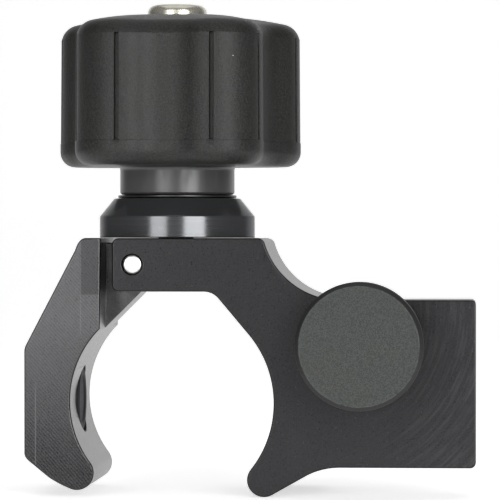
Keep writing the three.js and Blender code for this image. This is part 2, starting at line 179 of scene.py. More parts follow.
def body_outline():
    ear, top, bottom = EAR_CORNER, BLOCK_CORNER_TOP, BLOCK_CORNER_BOTTOM
    fillet_x, fillet_r = BLOCK_FILLET["x"], BLOCK_FILLET["r"]
    fillet_z = BLOCK_TOP + fillet_r
    drop = BRIDGE_END["low"] - fillet_z
    run = -math.sqrt(fillet_r ** 2 - drop ** 2)
    undercut_r, arch_r = BLOCK_UNDERCUT["r"], ARCH_CORNER["r"]
    tip_r, tip_slope, tip_angle = HOOK_TIP["r"], HOOK_TIP["slope"], HOOK_TIP["angle"]
    tip_x = (BORE_R + tip_r) * math.cos(tip_angle * DEG)
    tip_z = (BORE_R + tip_r) * math.sin(tip_angle * DEG)
    bridge_end = (fillet_x + run, BRIDGE_END["low"])
    points = [(EAR_END + ear, BODY_TOP)]
    points += curve((BRIDGE_END["x"], BODY_TOP), (BRIDGE_END["corner_x"], BODY_TOP), bridge_end)
    points += arc(fillet_x, fillet_z, fillet_r, 180 + math.degrees(math.atan2(-drop, -run)), 270)
    points += arc(BODY_END - top, BLOCK_TOP - top, top, 90, 0, 15)
    points += arc(BODY_END - bottom, BLOCK_BOTTOM + bottom, bottom, 0, -90, 15)
    points += arc(BLOCK_UNDERCUT["x"], BLOCK_BOTTOM - undercut_r, undercut_r, 90, 90 + tip_slope)
    points += arc(tip_x, tip_z, tip_r, tip_slope - 90, tip_angle - 180, 8)
    points += arc(0, 0, BORE_R, tip_angle, ARCH_CORNER["start"])
    points += arc(ARCH_CORNER["x"], ARCH_TOP - arch_r, arch_r, ARCH_CORNER["start"], 90, 6)
    points += arc(EAR_END + ear, ARCH_TOP + ear, ear, 270, 180, 12)
    points += arc(EAR_END + ear, BODY_TOP - ear, ear, 180, 90, 12)
    return tidy(points)


def flange_outline():
    bore_x, bore_z, bore_r = JAW_BORE
    tip_r, tip_angle, tip_from = JAW_TIP["r"], JAW_TIP["angle"], JAW_TIP["start"]
    tip_x = bore_x + (bore_r + tip_r) * math.cos(tip_angle * DEG)
    tip_z = bore_z + (bore_r + tip_r) * math.sin(tip_angle * DEG)
    tip_start = (tip_x + tip_r * math.cos(tip_from * DEG), tip_z + tip_r * math.sin(tip_from * DEG))
    points = [(FLANGE_X, BODY_TOP)]
    points += curve((-12.8, BODY_TOP), (-13.9, BODY_TOP), (-14.5, 23.9))
    points += curve((-22.2, 9.15), (jaw_low.x, 8.6), (jaw_low.x, 8.0))
    points += curve((jaw_low.x, -7.9), (jaw_low.x, -8.5), (-21.9, -9.05))
    points += curve((-18.8, -11.6), (-17.2, -12.7), tip_start)
    points += arc(tip_x, tip_z, tip_r, tip_from, tip_angle + 180, 8)
    points += arc(bore_x, bore_z, bore_r, tip_angle, JAW_BORE_END)
    return tidy(points)


def tongue_outline():
    """The tongue runs past the flange's inner face, so that the two solids join."""
    points = [(FLANGE_X - 2, 11.2), (-10.97, 11.2), (-3.9, 18.27), (-3.2, 19.3)]
    points += arc(PIN_X, PIN_Z, TONGUE_NOSE_R, 0, 62, 6)
    points += [(-7.0, 24.8), (FLANGE_X - 2, 25.3)]
    return tidy(points)


# ---- mesh building ------------------------------------------------------------------------------


def mesh_object(name, bm):
    bmesh.ops.recalc_face_normals(bm, faces=bm.faces)
    mesh = bpy.data.meshes.new(name)
    bm.to_mesh(mesh)
    bm.free()
    obj = bpy.data.objects.new(name, mesh)
    bpy.context.scene.collection.objects.link(obj)
    return obj


def unit(x, z):
    length = math.hypot(x, z)
    return x / length, z / length


def inset(outline, by):
    """The outline moved inwards by a distance."""
    count = len(outline)
    area = sum(x0 * z1 - x1 * z0 for (x0, z0), (x1, z1) in zip([outline[-1]] + outline, outline))
    turn = 1 if area > 0 else -1
    moved = []
    for i in range(count):
        before, at, after = outline[i - 1], outline[i], outline[(i + 1) % count]
        x0, z0 = unit(at[0] - before[0], at[1] - before[1])
        x1, z1 = unit(after[0] - at[0], after[1] - at[1])
        nx, nz = unit(-z0 - z1, x0 + x1)
        reach = turn * by / max(0.5, nx * -z0 + nz * x0)
        moved.append((at[0] + nx * reach, at[1] + nz * reach))
    return moved


def plate(name, outline, front, back, edge=0.0):
    """An outline in X and Z, drawn out from front to back along Y, with its edges rounded."""
    turns = (90, 60, 30, 0) if edge else (0,)
    near = [(front + edge * (1 - math.cos(a * DEG)), edge * (1 - math.sin(a * DEG)))
            for a in reversed(turns)]
    rings = near + [(front + back - y, by) for y, by in reversed(near)]
    bm = bmesh.new()
    loops = []
    for y, by in rings:
        shape = inset(outline, by) if by else outline
        loops.append([bm.verts.new((x * MM, y * MM, z * MM)) for x, z in shape])
    bm.faces.new(loops[0])
    bm.faces.new(reversed(loops[-1]))
    bridge_rings(bm, list(zip(loops, loops[1:])), len(outline))
    return mesh_object(name, bm)


def block(name, low, high):
    outline = [(low[0], low[2]), (high[0], low[2]), (high[0], high[2]), (low[0], high[2])]
    return plate(name, outline, low[1], high[1])


ON_AXIS = 1e-6


def lathe(name, profile, steps=96):
    """Turns [radius, height] points about Z. Points on the axis close the piece, else it is a ring."""
    bm = bmesh.new()
    rings = []
    for r, h in profile:
        if r < ON_AXIS:
            rings.append([bm.verts.new((0, 0, h * MM))])
            continue
        angles = [2 * math.pi * i / steps for i in range(steps)]
        rings.append([bm.verts.new((r * MM * math.cos(a), r * MM * math.sin(a), h * MM)) for a in angles])
    closed = profile[0][0] > ON_AXIS
    pairs = list(zip(rings, rings[1:])) + ([(rings[-1], rings[0])] if closed else [])
    bridge_rings(bm, pairs, steps)
    return mesh_object(name, bm)


def bridge_rings(bm, pairs, steps):
    for a, b in pairs:
        for i in range(steps):
            j = (i + 1) % steps
            if len(a) == 1 and len(b) == 1:
                break
            if len(a) == 1:
                bm.faces.new((a[0], b[i], b[j]))
            elif len(b) == 1:
                bm.faces.new((a[i], a[j], b[0]))
            else:
                bm.faces.new((a[i], a[j], b[j], b[i]))


def rounded(profile, radius, count=4):
    """Rounds the corners of an open [radius, height] profile, keeping its two ends."""
    out = [profile[0]]
    for before, at, after in zip(profile, profile[1:], profile[2:]):
        reach = min(radius, math.dist(before, at) * 0.45, math.dist(at, after) * 0.45)
        a = tuple(at[k] + (before[k] - at[k]) * reach / math.dist(before, at) for k in range(2))
        b = tuple(at[k] + (after[k] - at[k]) * reach / math.dist(after, at) for k in range(2))
        out += curve(a, at, b, count)
    return out + [profile[-1]]


def place(obj, x=0.0, y=0.0, z=0.0, to_front=False):
    """Moves a piece made about Z to its axis, turned to point along -Y where that is asked."""
    turn = Matrix.Rotation(math.pi / 2, 4, "X") if to_front else Matrix.Identity(4)
    obj.data.transform(Matrix.Translation((x * MM, y * MM, z * MM)) @ turn)
    return obj


def combine(obj, other, operation="DIFFERENCE"):
    modifier = obj.modifiers.new("cut", "BOOLEAN")
    modifier.operation = operation
    modifier.solver = "EXACT"
    modifier.object = other
    apply_modifiers(obj)
    bpy.data.meshes.remove(other.data)


def apply_modifiers(obj):
    graph = bpy.context.evaluated_depsgraph_get()
    mesh = bpy.data.meshes.new_from_object(obj.evaluated_get(graph))
    obj.modifiers.clear()
    old = obj.data
    obj.data = mesh
    bpy.data.meshes.remove(old)


def soften(obj, width):
    """Rounds the sharp edges slightly, as deburring and anodising leave them."""
    bevel = obj.modifiers.new("bevel", "BEVEL")
    bevel.width = width * MM
    bevel.segments = 2
    bevel.limit_method = "ANGLE"
    bevel.angle_limit = 50 * DEG
    bevel.use_clamp_overlap = False
    apply_modifiers(obj)


def shade(obj, angle=32):
    obj.data.polygons.foreach_set("use_smooth", [True] * len(obj.data.polygons))
    obj.data.set_sharp_from_angle(angle=angle * DEG)
    weighted = obj.modifiers.new("normals", "WEIGHTED_NORMAL")
    weighted.keep_sharp = True
    apply_modifiers(obj)


def rod(name, r, low, high, steps=64):
    return lathe(name, [(0, low), (r, low), (r, high), (0, high)], steps)


def hex_prism(name, across_flats, low, high):
    return rod(name, across_flats / 2 / math.cos(math.pi / 6), low, high, 6)


def finish_piece(obj, body, slot, material, *nodes):
    obj.data.materials.clear()
    obj.data.materials.append(material)
    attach(obj, body)
    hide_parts(*nodes)
    return obj


# ---- material nodes -----------------------------------------------------------------------------


class Nodes:
    """A Principled material whose textures are placed in the object's own metres."""

    def __init__(self, name):
        self.material = bpy.data.materials.new(name)
        self.material.use_nodes = True
        self.tree = self.material.node_tree
        self.bsdf = self.tree.nodes["Principled BSDF"]
        self.coords = self.tree.nodes.new("ShaderNodeTexCoord").outputs["Object"]
        self.normal = None

    def link(self, source, target):
        self.tree.links.new(source, target)

    def set(self, **values):
        for name, value in values.items():
            self.bsdf.inputs[name.replace("_", " ")].default_value = value

    def mapped(self, scale=(1, 1, 1), turn=(0, 0, 0)):
        node = self.tree.nodes.new("ShaderNodeMapping")
        node.inputs["Scale"].default_value = scale
        node.inputs["Rotation"].default_value = turn
        self.link(self.coords, node.inputs["Vector"])
        return node.outputs["Vector"]

    def noise(self, scale, detail=2.0, rough=0.5, vector=None):
        node = self.tree.nodes.new("ShaderNodeTexNoise")
        node.inputs["Scale"].default_value = scale
        node.inputs["Detail"].default_value = detail
        node.inputs["Roughness"].default_value = rough
        self.link(vector or self.coords, node.inputs["Vector"])
        return node.outputs["Fac"]

    def voronoi(self, scale):
        node = self.tree.nodes.new("ShaderNodeTexVoronoi")
        node.inputs["Scale"].default_value = scale
        self.link(self.coords, node.inputs["Vector"])
        return node.outputs["Distance"]

    def bands(self, pitch, vector, distortion, detail):
        """Lines across X, a pitch apart in metres."""
        node = self.tree.nodes.new("ShaderNodeTexWave")
        node.wave_type = "BANDS"
        node.bands_direction = "X"
        node.inputs["Scale"].default_value = 0.1 * math.pi / pitch
        node.inputs["Distortion"].default_value = distortion
        node.inputs["Detail"].default_value = detail
        self.link(vector, node.inputs["Vector"])
        return node.outputs["Fac"]

    def spread(self, value, from_low, from_high, to_low=0.0, to_high=1.0):
        node = self.tree.nodes.new("ShaderNodeMapRange")
        node.inputs["From Min"].default_value = from_low
        node.inputs["From Max"].default_value = from_high
        node.inputs["To Min"].default_value = to_low
        node.inputs["To Max"].default_value = to_high
        self.link(value, node.inputs["Value"])
        return node.outputs["Result"]

    def math(self, operation, a, b):
        node = self.tree.nodes.new("ShaderNodeMath")
        node.operation = operation
        for socket, value in zip(node.inputs, (a, b)):
            if isinstance(value, (int, float)):
                socket.default_value = value
            else:
                self.link(value, socket)
        return node.outputs["Value"]

    def axis(self, name):
        node = self.tree.nodes.new("ShaderNodeSeparateXYZ")
        self.link(self.coords, node.inputs["Vector"])
        return node.outputs[name]

    def radius(self, x, z):
        """Distance from an axis that runs along Y, in metres."""
        dx = self.math("SUBTRACT", self.axis("X"), x * MM)
        dz = self.math("SUBTRACT", self.axis("Z"), z * MM)
        total = self.math("ADD", self.math("MULTIPLY", dx, dx), self.math("MULTIPLY", dz, dz))
        return self.math("SQRT", total, 0.0)

    def line_at(self, name, place, width):
        """A thin line across one axis, in millimetres."""
        away = self.math("ABSOLUTE", self.math("SUBTRACT", self.axis(name), place * MM), 0.0)
        return self.spread(away, width * MM, width * 0.5 * MM)

    def front_face(self, y):
        """1 on a flat front face that lies at y millimetres."""
        return self.spread(self.axis("Y"), y * MM + 0.05 * MM, y * MM + 0.01 * MM)

    def shaded_edge_band(self, y, width):
        """1 on the broken edge just behind a front face that lies at y millimetres; it carries painted shade
        on that edge.
        """
        behind = self.spread(self.axis("Y"), (y + 0.03) * MM, (y + 0.07) * MM)
        before = self.spread(self.axis("Y"), (y + width + 0.05) * MM, (y + width) * MM)
        return self.math("MULTIPLY", behind, before)

    def rubbed_top(self):
        """Roughness of the flat top, where the collar rubs on it."""
        return self.spread(self.axis("Z"), (BODY_TOP - 0.1) * MM, (BODY_TOP - 0.03) * MM, 0.0, 0.7)

    def mix(self, factor, a, b):
        node = self.tree.nodes.new("ShaderNodeMix")
        node.data_type = "RGBA"
        sockets = [s for s in node.inputs if s.type == "RGBA"]
        for socket, value in zip(sockets, (a, b)):
            if isinstance(value, tuple):
                socket.default_value = (*value, 1.0)
            else:
                self.link(value, socket)
        self.link(factor, node.inputs["Factor"])
        return [s for s in node.outputs if s.type == "RGBA"][0]

    def bump(self, height, distance):
        node = self.tree.nodes.new("ShaderNodeBump")
        node.inputs["Strength"].default_value = 1.0
        node.inputs["Distance"].default_value = distance * MM
        self.link(height, node.inputs["Height"])
        if self.normal:
            self.link(self.normal, node.inputs["Normal"])
        self.normal = node.outputs["Normal"]
        self.link(self.normal, self.bsdf.inputs["Normal"])

    def colour(self, source):
        self.link(source, self.bsdf.inputs["Base Color"])

    def roughness(self, source):
        self.link(source, self.bsdf.inputs["Roughness"])


def anodised_body():
    """Dark anodised aluminium: fine grain, faint arcs of the facing cutter and a few rub marks."""
    n = Nodes("anodised_body")
    n.set(Metallic=1.0)
    cloud = n.noise(160, 4, 0.6)
    grain = n.noise(4300, 2, 0.75)
    speck = n.spread(n.noise(2400, 1, 0.5), 0.7, 0.8)
    arcs_at = n.radius(22.0, 14.0)  # the facing cutter's centre
    arcs = n.noise(1, 2, 0.6)
    along = n.tree.nodes.new("ShaderNodeCombineXYZ")
    n.link(n.math("MULTIPLY", arcs_at, 2200), along.inputs["X"])
    n.link(n.math("MULTIPLY", n.axis("Z"), 160), along.inputs["Y"])
    n.link(along.outputs["Vector"], arcs.node.inputs["Vector"])
    near_end = n.math("MULTIPLY", n.spread(n.axis("X"), 0.03, 0.044), n.front_face(-HALF_DEPTH))
    strokes = n.math("MULTIPLY", n.spread(arcs, 0.45, 0.75), near_end)
    colour = n.mix(n.spread(cloud, 0.35, 0.7), (0.028, 0.027, 0.0285), (0.035, 0.034, 0.0355))
    colour = n.mix(n.spread(grain, 0.2, 0.8, 0.1, 0.9), colour, (0.058, 0.0565, 0.0595))
    colour = n.mix(n.math("MULTIPLY", speck, 0.3), colour, (0.13, 0.13, 0.135))
    colour = n.mix(n.math("MULTIPLY", strokes, 0.45), colour, (0.10, 0.099, 0.103))
    # painted shade: a dark line on the broken edges of the front face, where they reflect dark surroundings
    colour = n.mix(n.math("MULTIPLY", n.shaded_edge_band(-HALF_DEPTH, 0.3), 0.8), colour, (0.012, 0.012, 0.013))
    n.colour(colour)
    n.roughness(n.math("MAXIMUM", n.spread(grain, 0.3, 0.7, 0.26, 0.36), n.rubbed_top()))
    n.bump(grain, 0.010)
    n.bump(strokes, 0.003)
    return n.material


LINE_PITCH = 0.42 * MM  # between the cutter lines on the jaw
LINE_ANGLE = 42


def milled_jaw():
    """Lighter milled face with fine slanting cutter lines, painted shade that darkens it towards the foot,
    and a turned seat.
    """
    n = Nodes("milled_jaw")
    n.set(Metallic=1.0)
    cloud = n.noise(180, 3, 0.6)
    grain = n.noise(5200, 2, 0.7)
    face = n.front_face(-HALF_DEPTH)
    lines = n.bands(LINE_PITCH, n.mapped((1, 1, 1), (0, LINE_ANGLE * DEG, 0)), 1.2, 3.0)
    shown = n.math("MULTIPLY", lines, face)
    left_pass = n.math("MULTIPLY", n.line_at("X", -20.7, 0.12), n.spread(n.axis("Z"), 0.004, 0.001))
    right_pass = n.math("MULTIPLY", n.line_at("X", -13.6, 0.1), n.spread(n.axis("Z"), 0.009, 0.012))
    passes = n.math("MULTIPLY", face, n.math("ADD", left_pass, right_pass))
    # painted shade: a darker patch on the upper right of the jaw's front face
    step = n.math("MULTIPLY", n.spread(n.axis("X"), -0.0138, -0.0134), n.spread(n.axis("Z"), 0.0169, 0.0171))
    # painted shade: the face and its cutter lines darken towards the foot
    low = n.spread(n.axis("Z"), -0.011, 0.013)  # 0 at the foot, 1 at the top
    face_shaded_to_foot = n.mix(low, (0.009, 0.0086, 0.0093), (0.106, 0.105, 0.109))
    turned = n.noise(1, 3, 0.65, n.mapped((260, 5200, 260)))
    seat = n.mix(n.spread(turned, 0.35, 0.7), (0.07, 0.07, 0.07), (0.15, 0.148, 0.146))
    colour = n.mix(face, seat, face_shaded_to_foot)
    colour = n.mix(n.spread(cloud, 0.3, 0.7, 0.0, 0.3), colour, (0.058, 0.057, 0.059))
    lines_shaded_to_foot = n.mix(low, (0.085, 0.083, 0.087), (0.16, 0.158, 0.163))
    colour = n.mix(n.math("MULTIPLY", shown, 0.5), colour, lines_shaded_to_foot)
    colour = n.mix(n.math("MULTIPLY", passes, 0.35), colour, (0.22, 0.22, 0.225))
    colour = n.mix(n.spread(grain, 0.42, 0.7, 0.0, 0.35), colour, (0.15, 0.148, 0.152))
    # painted shade: the darker patch at the upper right of the jaw's face
    colour = n.mix(n.math("MULTIPLY", n.math("MULTIPLY", step, face), 0.45), colour, (0.03, 0.03, 0.031))
    # painted shade: a dark line on the broken edges of the jaw's front face, where they reflect dark
    # surroundings
    colour = n.mix(n.shaded_edge_band(-HALF_DEPTH, 0.38), colour, (0.006, 0.006, 0.007))
    n.colour(colour)
    n.roughness(n.math("MAXIMUM", n.spread(grain, 0.3, 0.7, 0.24, 0.36), n.rubbed_top()))
    n.bump(shown, 0.006)
    n.bump(grain, 0.010)
    return n.material


def gloss_black():
    """Turned and gloss anodised, with fine lathe rings and a little dust."""
    n = Nodes("gloss_black_anodised")
    n.set(Metallic=0.8, Specular_Tint=(0.55, 0.55, 0.55, 1.0))
    rings = n.noise(1, 3, 0.6, n.mapped((12, 12, 5200)))
    dust = n.spread(n.noise(1500, 2, 0.5), 0.68, 0.8)
    n.colour(n.mix(n.math("MULTIPLY", dust, 0.35), (0.125, 0.128, 0.133), (0.2, 0.2, 0.21)))
    n.roughness(n.spread(rings, 0.3, 0.7, 0.12, 0.24))
    n.bump(rings, 0.004)
    return n.material


def warm_and_cold(n, colour):
    """Slow shifts of tint over a moulded surface."""
    cloud = n.noise(120, 4, 0.6)
    shift = n.mix(n.spread(cloud, 0.3, 0.7), (0.94, 0.98, 1.0), (1.0, 1.0, 0.93))
    tint = n.tree.nodes.new("ShaderNodeMix")
    tint.data_type = "RGBA"
    tint.blend_type = "MULTIPLY"
    tint.inputs["Factor"].default_value = 1.0
    sockets = [s for s in tint.inputs if s.type == "RGBA"]
    n.link(colour, sockets[0])
    n.link(shift, sockets[1])
    return [s for s in tint.outputs if s.type == "RGBA"][0]


def dust(n, colour, amount):
    """A few bright specks that cling to the grain."""
    speck = n.spread(n.voronoi(420), 0.05, 0.03)
    rare = n.spread(n.noise(90, 0, 0.5), 0.6, 0.66)
    return n.mix(n.math("MULTIPLY", speck, n.math("MULTIPLY", rare, amount)), colour, (0.6, 0.64, 0.6))


def moulded_black():
    """Grained black plastic; the neck under the lobes is smoother."""
    n = Nodes("moulded_black")
    n.set(IOR=1.4)
    grain = n.noise(4200, 3, 0.7)
    coarse = n.noise(1500, 2, 0.5)
    colour = n.mix(n.spread(grain, 0.35, 0.68), (0.0045, 0.0048, 0.0043), (0.034, 0.035, 0.0325))
    colour = dust(n, warm_and_cold(n, colour), 0.8)
    neck = n.spread(n.axis("Z"), (LOBES_LOW + 0.1) * MM, (LOBES_LOW - 0.4) * MM)
    scuff = n.spread(n.noise(1, 3, 0.6, n.mapped((700, 700, 160))), 0.5, 0.75)
    smooth = n.spread(scuff, 0.0, 1.0, 0.3, 0.45)
    rough = n.spread(grain, 0.3, 0.7, 0.38, 0.5)
    blend = n.tree.nodes.new("ShaderNodeMix")
    n.link(neck, blend.inputs["Factor"])
    n.link(rough, blend.inputs["A"])
    n.link(smooth, blend.inputs["B"])
    n.roughness(blend.outputs["Result"])
    n.colour(n.mix(neck, colour, (0.09, 0.092, 0.09)))
    n.link(n.math("MULTIPLY", neck, 0.5), n.bsdf.inputs["Metallic"])
    lobes_only = n.math("SUBTRACT", 1.0, neck)
    n.bump(n.math("MULTIPLY", n.math("ADD", grain, coarse), lobes_only), 0.045)
    return n.material


def moulded_grey():
    """Matte grained face, with painted shade: a smoother, darker colour on the rim and hub, and a painted
    highlight round the face's edge.
    """
    n = Nodes("moulded_grey")
    n.set(IOR=1.42)
    grain = n.noise(5200, 3, 0.75)
    coarse = n.noise(1800, 2, 0.6)
    colour = n.mix(n.spread(grain, 0.38, 0.64), (0.022, 0.0245, 0.0235), (0.064, 0.069, 0.0665))
    colour = dust(n, warm_and_cold(n, colour), 0.35)
    face_r, face_y = THUMB_FACE_R, thumb_low.y
    on_face = n.spread(n.radius(THUMB_X, THUMB_Z), (face_r + 0.08) * MM, (face_r - 0.08) * MM)
    in_front = n.spread(n.axis("Y"), (face_y + 0.7) * MM, (face_y + 0.3) * MM)
    on_face = n.math("MULTIPLY", on_face, in_front)
    # painted shade: off the front face, the rim and hub take a plain darker colour
    colour = n.mix(on_face, (0.014, 0.0145, 0.014), colour)
    # painted highlight: a lighter line round the edge of the front face, broken up by noise
    off_edge = n.math("ABSOLUTE", n.math("SUBTRACT", n.radius(THUMB_X, THUMB_Z), (face_r - 0.03) * MM), 0.0)
    at_front = n.spread(n.axis("Y"), (face_y + 0.4) * MM, (face_y + 0.2) * MM)
    painted_edge_highlight = n.math("MULTIPLY", n.spread(off_edge, 0.1 * MM, 0.04 * MM), at_front)
    n.colour(n.mix(n.math("MULTIPLY", painted_edge_highlight, n.spread(coarse, 0.35, 0.65)), colour, (0.075, 0.08, 0.077)))
    n.roughness(n.spread(grain, 0.3, 0.7, 0.5, 0.68))
    n.bump(n.math("ADD", grain, coarse), 0.03)
    return n.material


def steel(name, colour, rough_low, rough_high, metal=1.0):
    """Plated or polished metal with fine scratches and stains."""
    n = Nodes(name)
    n.set(Metallic=metal)
    scratches = n.noise(1, 3, 0.6, n.mapped((500, 6000, 500), (0.3, 0.2, 0.5)))
    stain = n.noise(600, 3, 0.6)
    dull = tuple(c * 0.8 for c in colour)
    n.colour(n.mix(n.spread(stain, 0.4, 0.75), colour, dull))
    n.roughness(n.spread(scratches, 0.35, 0.7, rough_low, rough_high))
    n.bump(scratches, 0.003)
    return n.material


def grip_rubber():
    """Near-black rubber for the plug deep in the jaw's pocket; its dark colour also stands in for the shade
    inside the pocket.
    """
    n = Nodes("grip_rubber")
    grain = n.noise(2500, 3, 0.7)
    # near-black rubber colour, which also stands in for the painted shade deep in the pocket
    n.colour(n.mix(n.spread(grain, 0.35, 0.7), (0.006, 0.005, 0.008), (0.02, 0.017, 0.024)))
    n.roughness(n.spread(grain, 0.3, 0.7, 0.6, 0.85))
    n.bump(grain, 0.03)
    return n.material


FLOOR_GLOW = 0.6


def pale_floor():
    """White, and glowing softly behind the clamp, where it is the backdrop."""
    n = Nodes("pale_floor")
    mottle = n.noise(6, 3, 0.5)
    n.colour(n.mix(n.spread(mottle, 0.3, 0.7), (0.9, 0.9, 0.9), (0.93, 0.93, 0.93)))
    n.roughness(n.spread(mottle, 0.3, 0.7, 0.8, 0.9))
    behind = n.spread(n.axis("Y"), -0.35, -0.03)
    aside = n.spread(n.math("ABSOLUTE", n.axis("X"), 0.0), 0.7, 0.25)
    glow = n.mix(n.math("MULTIPLY", behind, aside), (0.0, 0.0, 0.0), (1.0, 1.0, 1.0))
    n.link(glow, n.bsdf.inputs["Emission Color"])
    n.set(Emission_Strength=FLOOR_GLOW)
    return n.material


# ---- pieces -------------------------------------------------------------------------------------


def make_body(material):
    half, past = HALF_DEPTH, BEYOND
    recess_r, recess_depth = THUMB_RECESS["r"], THUMB_RECESS["depth"]
    slot_low = (EAR_END - past, -SLOT_HALF, ARCH_TOP - past)
    lap_low = (SHOULDER_X, LAP_Y, BLOCK_BOTTOM - past)
    lock_hole = rod("lock_hole", LOCK_SCREW["hole_r"], PIN_Z, BODY_TOP + past, 32)
    body = plate("body_block", body_outline(), -half, half, EDGE)
    combine(body, block("slot", slot_low, (SLOT_END, SLOT_HALF, BODY_TOP + past)))
    combine(body, place(rod("pin_hole", PIN_R + PIN_FIT, -half - past, half + past), PIN_X, 0, PIN_Z, True))
    combine(body, place(rod("insert_hole", INSERT_HOLE_R, ARCH_TOP - past, BODY_TOP + past), KNOB_X))
    combine(body, place(lock_hole, PIN_X, LOCK_SCREW["y"]))
    combine(body, block("lap", lap_low, (BODY_END + past, half + past, BLOCK_TOP + past)))
    combine(body, place(rod("thumb_hole", THUMB_HOLE_R, -half, half + past), THUMB_X, 0, THUMB_Z, True))
    recess = rod("thumb_recess", recess_r, -LAP_Y - past, -LAP_Y + recess_depth)
    combine(body, place(recess, THUMB_X, 0, THUMB_Z, True))
    soften(body, BEVEL)
    shade(body)
    return finish_piece(body, "clamp", "anodised_body", material, "clamp_body")


def make_jaw(material):
    half = HALF_DEPTH
    jaw = plate("jaw_arm", flange_outline(), -half, half, EDGE)
    combine(jaw, plate("tongue", tongue_outline(), -TONGUE_HALF, TONGUE_HALF, 0.2), "UNION")
    combine(jaw, place(rod("pin_hole", PIN_R + PIN_FIT, -half, half), PIN_X, 0, PIN_Z, True))
    pocket = rod("pocket", POCKET_R, -25, 0, 64)
    pocket.data.transform(Matrix.Rotation(math.pi / 2, 4, "Y"))
    floor_x = JAW_BORE[0] - math.sqrt(JAW_BORE[2] ** 2 - POCKET_R ** 2) - POCKET_DEPTH
    combine(pocket, block("keep", (-30, -10, -10), (floor_x, 10, 10)))
    combine(jaw, pocket)
    soften(jaw, BEVEL)
    shade(jaw)
    return finish_piece(jaw, "jaw", "milled_jaw", material, "jaw")


COLLAR = {"top_r": 10.1, "shoulder": 29.3, "counter_r": 6.0, "counter_top": 27.6}
SEATING = 0.05  # lowers the collar into the air that the CAD keeps over the body


def make_collar(material):
    low, top = collar_low.z - SEATING, collar_high.z
    r = (collar_high.x - collar_low.x) / 2
    top_r, shoulder = COLLAR["top_r"], COLLAR["shoulder"]
    counter_r, counter_top = COLLAR["counter_r"], COLLAR["counter_top"]
    bore_r = SCREW_R + SCREW_FIT
    profile = [(bore_r, top - 4), (bore_r, top), (top_r, top), (r, shoulder), (r, low), (counter_r, low)]
    profile = rounded(profile + [(counter_r, counter_top), (bore_r, counter_top)], 0.16)
    collar = place(lathe("collar_turned", tidy(profile), 160), KNOB_X)
    shade(collar)
    return finish_piece(collar, "collar", "gloss_black_anodised", material, "pressure_collar")


WASHER_BORE_R = 3.4


def make_washer(name, node, body, material, to_front=False):
    low, high = mm_box(node)
    r = (high.x - low.x) / 2
    inner = WASHER_BORE_R
    bottom, top = (-high.y, -low.y) if to_front else (low.z, high.z)
    profile = [(inner, (bottom + top) / 2), (inner, bottom), (r, bottom), (r, top), (inner, top)]
    profile = tidy(rounded(profile + [profile[0]], 0.12))
    centre = (low + high) / 2
    washer = place(lathe(name, profile, 96), centre.x, 0, centre.z if to_front else 0, to_front)
    shade(washer)
    return finish_piece(washer, body, "zinc_steel", material, node)


# The lobed knob: lobes on a circle, with a shallow scallop between each two.
LOBES = 5
LOBES_LOW = 37.3
LOBE_CENTRE_R = 12.67
LOBE_R = 7.5
CONTACT = 29.0  # where a lobe's arc meets a scallop's, in degrees
TWIST = -2.2
BAND = 0.02  # inset of the proud band below the grooves
GROOVE = {"angle": 36.0, "depth": 0.8, "low": 41.2, "high": 57.9}
# Each entry is a half width and the share of the depth that the groove has there.
GROOVE_SECTION = ((0.44, 0.0), (0.38, 0.03), (0.33, 0.14), (0.3, 0.4), (0.28, 1.0))
LOBE_STEPS = 36
VALLEY_STEPS = 14


def lobed_ring():
    """(x, y, normal x, normal y, groove) round the knob; groove is 1 on the floor of a groove."""
    step = 360 / LOBES
    half_pitch = LOBE_CENTRE_R * math.sin(step / 2 * DEG)
    valley_r = half_pitch / math.sin(CONTACT * DEG) - LOBE_R
    valley_at = LOBE_CENTRE_R * math.cos(step / 2 * DEG) + (LOBE_R + valley_r) * math.cos(CONTACT * DEG)
    span = step / 2 + CONTACT
    section = [(math.degrees(width / LOBE_R), share) for width, share in GROOVE_SECTION]
    ring = []
    for i in range(LOBES):
        lobe = TWIST - 90 + step * (i + 0.5)
        turns = [(-span + span * 2 * k / LOBE_STEPS, 0) for k in range(LOBE_STEPS)]
        for g in (-GROOVE["angle"], GROOVE["angle"]):
            turns = [t for t in turns if abs(t[0] - g) > section[0][0] + 0.8]
            turns += [(g - width, share) for width, share in section] + [(g, 1)]
            turns += [(g + width, share) for width, share in section]
        for turn, floor in sorted(turns):
            a = (lobe + turn) * DEG
            cx, cy = LOBE_CENTRE_R * math.cos(lobe * DEG), LOBE_CENTRE_R * math.sin(lobe * DEG)
            nx, ny = math.cos(a), math.sin(a)
            ring.append((cx + LOBE_R * nx, cy + LOBE_R * ny, nx, ny, floor))
        valley = lobe + step / 2
        vx, vy = valley_at * math.cos(valley * DEG), valley_at * math.sin(valley * DEG)
        for k in range(VALLEY_STEPS):
            a = (valley + 180 + CONTACT - 2 * CONTACT * k / VALLEY_STEPS) * DEG
            nx, ny = -math.cos(a), -math.sin(a)
            ring.append((vx - valley_r * nx, vy - valley_r * ny, nx, ny, 0))
    return ring


def knob_levels():
    """(height, inset, groove) up the knob's side, from the edge of its flat bottom to that of its crown."""
    low, edge_low, edge_high = LOBES_LOW, 2.4, 3.0
    rim = 60.3
    g0, g1 = GROOVE["low"], GROOVE["high"]
    wall = BAND + 0.08  # inset of the wall between the grooves' ends, which leans in by lean
    lean = 0.1
    levels = []
    for k in range(9):
        a = k / 8 * 90 * DEG
        levels.append((low + edge_low * (1 - math.cos(a)), BAND + edge_low * (1 - math.sin(a)), 0))
    levels += [(g0 - 0.12, BAND, 0), (g0 - 0.02, wall, 0), (g0 + 0.1, wall, 1)]
    for k in range(1, 9):
        levels.append((g0 + 0.1 + (g1 - g0 - 0.2) * k / 8, wall + lean * k / 8, 1))
    for k in range(1, 13):
        a = k / 12 * 78 * DEG
        height = rim - edge_high + edge_high * math.sin(a)
        if height > g1 + 0.05:
            levels.append((height, wall + lean + edge_high * (1 - math.cos(a)), 0))
    return levels


